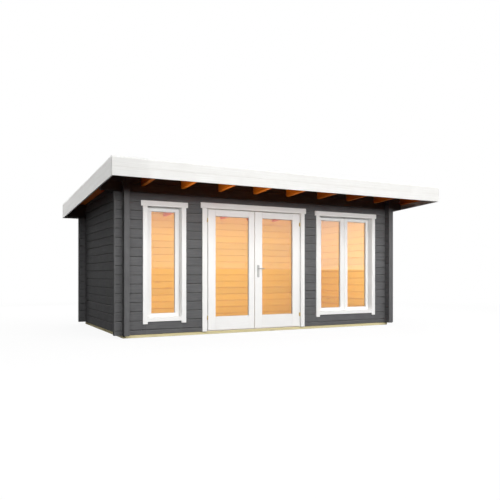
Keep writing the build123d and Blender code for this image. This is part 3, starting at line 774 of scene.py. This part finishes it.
FELT_SHEETS = 4
FELT_THIN = 0.0018
FELT_THICK = 0.004
FELT_STEP = 0.001


def felt_outline(y0, y1):
    """Section over (y, height above the boards): every sheet rises from thin to thick at its lower edge."""
    edges = np.linspace(y0, y1, FELT_SHEETS + 1)
    starts = np.stack([edges[:-1], np.full(FELT_SHEETS, FELT_THIN)], -1)
    ends = np.stack([edges[1:] - FELT_STEP, np.full(FELT_SHEETS, FELT_THICK)], -1)
    upper = np.stack([starts, ends], 1).reshape(-1, 2)
    lower = np.array([(y0, 0.0), (y1 - FELT_STEP, 0.0)])
    return np.concatenate([lower, upper[::-1]])


x0, x1, y0, y1 = span("roof_covering")[:4]
outline = felt_outline(y0, y1) + (0, deck_front_top)
felt_part = carry(outline, [x0, x1], [0.0, 0.0], "x", [], slope=True)
piece("roof_felt_sheets", [felt_part], (felt,), ["roof_covering"])

# Fascias: two boards one over the other on every side
FASCIA_HEIGHT = 0.248
FASCIA_JOINT = 0.0003
FASCIA_ARRIS = 0.0015


def fascia(node, axis):
    x0, x1, y0, y1 = span(node)[:4]
    top = deck_front_top
    middle = top - FASCIA_HEIGHT / 2
    halves = ((top - FASCIA_HEIGHT, middle - FASCIA_JOINT), (middle + FASCIA_JOINT, top))
    parts = [board(x0, x1, y0, y1, low, high, axis, FASCIA_ARRIS, slope=True) for low, high in halves]
    return piece(node + "_boards", parts, (fascia_paint,), [node])


fascia("fascia_front", "x")
fascia("fascia_back", "x")
fascia_left = fascia("fascia_left", "y")
fascia_right = fascia("fascia_right", "y")
light_only(canopy_strip, [rafters, fascia_right])


TRIM_WIDTH = 0.038
TRIM_DROP = 0.018
TRIM_THICKNESS = 0.002


def edge_trim():
    """Angle strip round the roof: point (k, j) = corner k moved outwards by reach[j], at height[j]."""
    x0, x1, y0, y1 = span("roof_edge_trim")[:4]
    low = deck_front_top + FELT_THICK - TRIM_DROP
    high = deck_front_top + FELT_THICK + TRIM_THICKNESS
    under = high - TRIM_THICKNESS
    section = np.array([
        (0, low), (0, high), (-TRIM_WIDTH, high), (-TRIM_WIDTH, under), (-TRIM_THICKNESS, under),
        (-TRIM_THICKNESS, low),
    ])
    corners = np.array([(x0, y0, -1, -1), (x1, y0, 1, -1), (x1, y1, 1, 1), (x0, y1, -1, 1)])
    reach, height = section[None, :, 0], section[None, :, 1]
    x = corners[:, 0:1] + corners[:, 2:3] * reach
    y = corners[:, 1:2] + corners[:, 3:4] * reach
    z = height - SLOPE * (y - roof_front)
    points = np.stack([x, y, z], -1).reshape(-1, 3)
    count = len(section)
    k, j = np.meshgrid(np.arange(4), np.arange(count), indexing="ij")
    n, m = (k + 1) % 4, (j + 1) % count
    quads = np.stack([k * count + j, n * count + j, n * count + m, k * count + m], -1).reshape(-1, 4)
    return {
        "points": points,
        "quads": quads,
        "caps": [],
        "grain": points,
        "tone": np.full(len(points), 0.5),
        "edge": np.zeros(len(points)),
        "which": np.zeros(len(quads), int),
    }


piece("roof_edge_trim_angle", [edge_trim()], (trim_coat,), ["roof_edge_trim"])

# Casings
CASING_HEAD = 0.08
LEG = 0.073
EAR = 0.028
RAIL_LOW = 0.034
RAIL_HIGH = 0.096
JOINT = 0.0004


def window_casing(node):
    """Head with ears, two legs and a rail between them."""
    x0, x1, y0, y1, z0, z1 = span(node)
    head_bottom = z1 - CASING_HEAD
    left, right = x0 + EAR, x1 - EAR
    parts = [
        board(x0, x1, y0, y1, head_bottom, z1, "x"),
        board(left, left + LEG, y0, y1, z0, head_bottom - JOINT, "z"),
        board(right - LEG, right, y0, y1, z0, head_bottom - JOINT, "z"),
        board(left + LEG + JOINT, right - LEG - JOINT, y0, y1, z0 + RAIL_LOW, z0 + RAIL_HIGH, "x"),
    ]
    return piece(node + "_boards", parts, (white_paint,), [node])


window_casing("single_window_casing")
window_casing("double_window_casing")
for node, axis in (("door_casing_head", "x"), ("door_casing_left_leg", "z"), ("door_casing_right_leg", "z")):
    piece(node + "_board", [board(*span(node), axis)], (white_paint,), [node])


INNER_ARRIS = 0.002


def ring(x0, x1, y0, y1, z0, z1, width, radius=INNER_ARRIS, rail=None, head=None):
    """Four boards round an opening: upright ones run full height, the others lie between them."""
    rail = width if rail is None else rail
    head = width if head is None else head
    return [
        board(x0, x0 + width, y0, y1, z0, z1, "z", radius),
        board(x1 - width, x1, y0, y1, z0, z1, "z", radius),
        board(x0 + width + JOINT, x1 - width - JOINT, y0, y1, z0, z0 + rail, "x", radius),
        board(x0 + width + JOINT, x1 - width - JOINT, y0, y1, z1 - head, z1, "x", radius),
    ]


# Window frames
LINING = 0.02
LEDGE = 0.022
SASH_SETBACK = 0.06
LEDGE_SETBACK = 0.03
POST = 0.022
POST_SETBACK = 0.014


def window_frame(node, post=False):
    """Lining on four sides, ledges at the sides and the head, and a post between two sashes."""
    x0, x1, y0, y1, z0, z1 = span(node)
    parts = ring(x0, x1, y0, y1, z0, z1, LINING)
    edge = LINING + JOINT
    x0, x1, z0, z1 = x0 + edge, x1 - edge, z0 + edge, z1 - edge
    ledge = LEDGE - JOINT
    ledge_front = y0 + SASH_SETBACK + LEDGE_SETBACK
    parts += [
        board(x0, x0 + ledge, ledge_front, y1, z0, z1, "z", INNER_ARRIS),
        board(x1 - ledge, x1, ledge_front, y1, z0, z1, "z", INNER_ARRIS),
        board(x0 + LEDGE, x1 - LEDGE, ledge_front, y1, z1 - ledge, z1, "x", INNER_ARRIS),
    ]
    if post:
        left = (x0 + x1) / 2 - POST / 2
        right = (x0 + x1) / 2 + POST / 2
        post_front = y0 + SASH_SETBACK + POST_SETBACK
        parts.append(board(left, right, post_front, y1, z0, z1 - LEDGE, "z", INNER_ARRIS))
    return piece(node + "_joinery", parts, (white_paint,), [node])


window_frame("single_window_frame")
window_frame("double_window_frame", post=True)


# Panes: two sheets of float glass with a spacer bar, held by seals outside and beads inside
SHEET = 0.004
SHEET_ARRIS = 0.0008
EDGE_COVER = 0.0117
SPACER = 0.0122
SEAL = 0.0025
SEAL_DEPTH = 0.004
BEAD = 0.003
BEAD_SETBACK = 0.004
SMALL_ARRIS = 0.001
TOUCH = 0.0002


def sheets(x0, x1, y0, y1, z0, z1):
    return [
        board(x0, x1, y0, y0 + SHEET, z0, z1, "z", SHEET_ARRIS),
        board(x0, x1, y1 - SHEET, y1, z0, z1, "z", SHEET_ARRIS),
    ]


def spacers(x0, x1, y0, y1, z0, z1):
    return ring(x0, x1, y0 + SHEET + TOUCH, y1 - SHEET - TOUCH, z0, z1, SPACER, SMALL_ARRIS)


def light_edge(x0, x1, z0, z1):
    """Clear opening in front of a pane whose edge is covered all round."""
    return x0 + EDGE_COVER, x1 - EDGE_COVER, z0 + EDGE_COVER, z1 - EDGE_COVER


def seals(x0, x1, pane_front, z0, z1):
    return ring(x0, x1, pane_front - SEAL_DEPTH, pane_front - TOUCH, z0, z1, SEAL, SMALL_ARRIS)


def beads(x0, x1, pane_back, back, z0, z1):
    return ring(x0, x1, pane_back + TOUCH, back - BEAD_SETBACK, z0, z1, BEAD, SMALL_ARRIS)


def panes_of(node, boxes, body, back):
    """The glass, spacers, seals and beads of one or two panes; back is the back of what holds them."""
    glass_parts, spacer_parts, seal_parts, bead_parts = [], [], [], []
    for x0, x1, y0, y1, z0, z1 in boxes:
        glass_parts += sheets(x0, x1, y0, y1, z0, z1)
        spacer_parts += spacers(x0, x1, y0, y1, z0, z1)
        lx0, lx1, lz0, lz1 = light_edge(x0, x1, z0, z1)
        seal_parts += seals(lx0, lx1, y0, lz0, lz1)
        bead_parts += beads(lx0, lx1, y1, back, lz0, lz1)
    piece(node + "_sheets", glass_parts, (glass,), [node], body)
    piece(node + "_spacers", spacer_parts, (spacer_metal,), (), body)
    piece(node + "_seals", seal_parts, (rubber,), (), body)
    piece(node + "_beads", bead_parts, (white_paint,), (), body)


# Sashes
STILE = 0.056
MEETING = 0.068
HALF_MEETING_GAP = 0.0115
SASH_TOP_RAIL = 0.046
SASH_BOTTOM_RAIL = 0.052
x0, x1, y0, y1, z0, z1 = span("single_window_sash")
parts = ring(x0, x1, y0, y1, z0, z1, STILE, rail=SASH_BOTTOM_RAIL, head=SASH_TOP_RAIL)
piece("single_window_sash_joinery", parts, (white_paint,), ["single_window_sash"])
panes_of("single_window_glass", [span("single_window_glass")], "cabin", y1)

x0, x1, y0, y1, z0, z1 = span("double_window_sashes")
middle = (x0 + x1) / 2
sash_sides = (
    (x0, middle - HALF_MEETING_GAP, STILE, MEETING), (middle + HALF_MEETING_GAP, x1, MEETING, STILE)
)
parts = []
for left, right, left_stile, right_stile in sash_sides:
    inner_left = left + left_stile + JOINT
    inner_right = right - right_stile - JOINT
    parts += [
        board(left, left + left_stile, y0, y1, z0, z1, "z", INNER_ARRIS),
        board(right - right_stile, right, y0, y1, z0, z1, "z", INNER_ARRIS),
        board(inner_left, inner_right, y0, y1, z0, z0 + SASH_BOTTOM_RAIL, "x", INNER_ARRIS),
        board(inner_left, inner_right, y0, y1, z1 - SASH_TOP_RAIL, z1, "x", INNER_ARRIS),
    ]
piece("double_window_sashes_joinery", parts, (white_paint,), ["double_window_sashes"])
glass_left, glass_right, *glass_rest = span("double_window_glass")
inner = middle - HALF_MEETING_GAP - MEETING + EDGE_COVER
both_panes = [(glass_left, inner, *glass_rest), (2 * middle - inner, glass_right, *glass_rest)]
panes_of("double_window_glass", both_panes, "cabin", y1)

# Door frame: jambs and head, a stop behind the leaves, a threshold strip
x0, x1, y0, y1, z0, z1 = span("door_frame")
JAMB = 0.044
STOP_WIDTH = 0.015
STOP_DEPTH = 0.018
SILL = 0.006
SILL_ARRIS = 0.0015
left, right, head = x0 + JAMB, x1 - JAMB, z1 - JAMB
stop = y1 - STOP_DEPTH
parts = [
    board(x0, left, y0, y1, z0, z1, "z"),
    board(right, x1, y0, y1, z0, z1, "z"),
    board(left + JOINT, right - JOINT, y0, y1, head, z1, "x"),
    board(left + JOINT, left + STOP_WIDTH, stop, y1, z0 + SILL, head, "z", INNER_ARRIS),
    board(right - STOP_WIDTH, right - JOINT, stop, y1, z0 + SILL, head, "z", INNER_ARRIS),
    board(
        left + STOP_WIDTH, right - STOP_WIDTH, stop, y1, head - STOP_WIDTH, head - JOINT, "x", INNER_ARRIS
    ),
]
piece("door_frame_joinery", parts, (white_paint,), ["door_frame"])
threshold = board(left, right, y0, y1, z0, z0 + SILL, "x", SILL_ARRIS)
piece("door_threshold_strip", [threshold], (spacer_metal,), (), "cabin")

# Door leaves
LEAF_STILE = 0.126
ACTIVE_STILE = 0.133
PASSIVE_STILE = 0.103
TOP_RAIL = 0.099
BOTTOM_RAIL = 0.211
GROOVE_WIDTH = 0.031
GROOVE_DEPTH = 0.014


def door_leaf(side, left_stile, right_stile, grooved):
    """Stiles and rails round one tall pane; a grooved leaf's meeting edge steps back."""
    x0, x1, y0, y1, z0, z1 = span(f"{side}_door_leaf")
    flush_right = x1 - GROOVE_WIDTH if grooved else x1
    inner_left = x0 + left_stile + JOINT
    inner_right = x1 - right_stile - JOINT
    parts = [
        board(x0, x0 + left_stile, y0, y1, z0, z1, "z"),
        board(x1 - right_stile, flush_right, y0, y1, z0, z1, "z"),
        board(inner_left, inner_right, y0, y1, z1 - TOP_RAIL, z1, "x"),
        board(inner_left, inner_right, y0, y1, z0, z0 + BOTTOM_RAIL, "x"),
    ]
    if grooved:
        parts.append(board(flush_right + JOINT, x1, y0 + GROOVE_DEPTH, y1, z0, z1, "z"))
    piece(f"{side}_door_leaf_joinery", parts, (white_paint,), [f"{side}_door_leaf"], f"{side}_leaf")
    panes_of(f"{side}_door_glass", [span(f"{side}_door_glass")], f"{side}_leaf", y1)


door_leaf("left", LEAF_STILE, PASSIVE_STILE, True)
door_leaf("right", ACTIVE_STILE, LEAF_STILE, False)

# Hinges keep the frame's shape and get their finish
for node in ("left_hinge_pins", "left_hinge_sleeves", "right_hinge_pins", "right_hinge_sleeves"):
    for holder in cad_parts[node].material_slots:
        holder.material = yellow_steel


# Handle: long plates with soft edges, a lever bent from round bar, a lock cylinder
PLATE = 0.008
PLATE_CORNER = 0.006
PLATE_EDGE = 0.002
LOCK_RISE = 0.09
BAR = 0.008
BEND = 0.02
TIP_INSIDE = 0.01
NECK = 0.042
GRIP_END = 0.006
GRIP_TIP = 0.0002


def plate(x0, x1, y0, y1, z0, z1, outward):
    """Rounded plate: its outline is carried through its thickness and drawn in at the outer face."""
    outline = rounded_rectangle((z0, x0), (z1, x1), PLATE_CORNER, 6)
    depth = np.array([0.0, y1 - y0 - PLATE_EDGE, y1 - y0 - EASE * PLATE_EDGE, y1 - y0])
    inset = np.array([0.0, 0.0, EASE * PLATE_EDGE, PLATE_EDGE])
    if outward < 0:
        depth, inset = (y1 - y0) - depth[::-1], inset[::-1]
    return carry(outline, y0 + depth, inset, "y", [])


def tube(path, radius, around=16):
    """Round bar along a path: point (i, t) = path[i] + radius[i] * (cos t * side[i] + sin t * up)."""
    path = np.asarray(path, float)
    tangent = np.gradient(path, axis=0)
    tangent /= np.linalg.norm(tangent, axis=1, keepdims=True)
    up = np.array([0.0, 0.0, 1.0])
    side = np.cross(tangent, up)
    turn = np.linspace(0, 2 * math.pi, around, endpoint=False)
    ring_points = np.cos(turn)[None, :, None] * side[:, None] + np.sin(turn)[None, :, None] * up
    points = (path[:, None] + np.asarray(radius)[:, None, None] * ring_points).reshape(-1, 3)
    i, j = np.meshgrid(np.arange(len(path) - 1), np.arange(around), indexing="ij")
    k = (j + 1) % around
    here, there = i * around, (i + 1) * around
    quads = np.stack([here + j, here + k, there + k, there + j], -1).reshape(-1, 4)
    caps = [np.arange(around)[::-1], (len(path) - 1) * around + np.arange(around)]
    return {
        "points": points,
        "quads": quads[:, ::-1],
        "caps": [cap[::-1] for cap in caps],
        "grain": points,
        "tone": np.full(len(points), 0.5),
        "edge": np.zeros(len(points)),
        "which": np.zeros(len(quads) + 2, int),
    }


# The lock cylinder is a short round bar; its steps and rounds are its depths and radii
LOCK_STEPS = np.array([-0.004, 0.001, 0.0018, 0.002])
LOCK_ROUNDS = np.array([0.0085, 0.0085, 0.008, 0.0068])
x0, x1, y0, y1, z0, z1 = span("door_handle_plates")
parts = [plate(x0, x1, y0, y0 + PLATE, z0, z1, -1), plate(x0, x1, y1 - PLATE, y1, z0, z1, 1)]
plate_middle = (x0 + x1) / 2
for face, out in ((y0, -1), (y1, 1)):
    depths = face + out * LOCK_STEPS
    spots = np.stack([np.full(4, plate_middle), depths, np.full(4, z0 + LOCK_RISE)], -1)
    parts.append(tube(spots, LOCK_ROUNDS))
piece("door_handle_plates_brushed", parts, (steel,), ["door_handle_plates"], "right_leaf")

# The lever leaves the plate in a neck, turns a quarter circle and ends in a round tip; a collar holds it
COLLAR_STEPS = np.array([-0.004, 0.0, 0.004, 0.006])
COLLAR_ROUNDS = np.array([0.0125, 0.0125, 0.012, 0.0095])
x0, x1, y0, y1, z0, z1 = span("door_lever")
lever_z = (z0 + z1) / 2
quarter = np.linspace(0, math.pi / 2, 9)
tip_turn = np.linspace(0, math.pi / 2, 5)[1:]
parts = []
for grip_y, out in ((y0 + TIP_INSIDE, -1), (y1 - TIP_INSIDE, 1)):
    base_y = grip_y - out * NECK
    bend_y = grip_y - out * BEND
    bar_x = np.concatenate([
        np.full(3, plate_middle),
        plate_middle + BEND - BEND * np.cos(quarter),
        np.linspace(plate_middle + BEND, x1 - GRIP_END, 8)[1:],
        x1 - GRIP_END + GRIP_END * np.sin(tip_turn),
    ])
    bar_y = np.concatenate([
        np.linspace(base_y, bend_y, 4)[:3],
        bend_y + out * BEND * np.sin(quarter),
        np.full(7 + len(tip_turn), grip_y),
    ])
    radius = np.full(len(bar_x), BAR)
    radius[-4:] = BAR * np.cos(tip_turn) + GRIP_TIP
    parts.append(tube(np.stack([bar_x, bar_y, np.full(len(bar_x), lever_z)], -1), radius))
    collar_y = base_y + out * COLLAR_STEPS
    parts.append(tube(np.stack([np.full(4, plate_middle), collar_y, np.full(4, lever_z)], -1), COLLAR_ROUNDS))
piece("door_lever_bent_bar", parts, (steel,), ["door_lever"], "lever", smooth=True)

# The panels on the left shine at the white pieces alone
white_joinery = [
    obj for obj in scene.collection.objects if obj.type == "MESH" and white_paint in obj.data.materials[:]
]
light_only(left_panel, [fascia_left, *white_joinery])
light_only(joinery_panel, white_joinery)
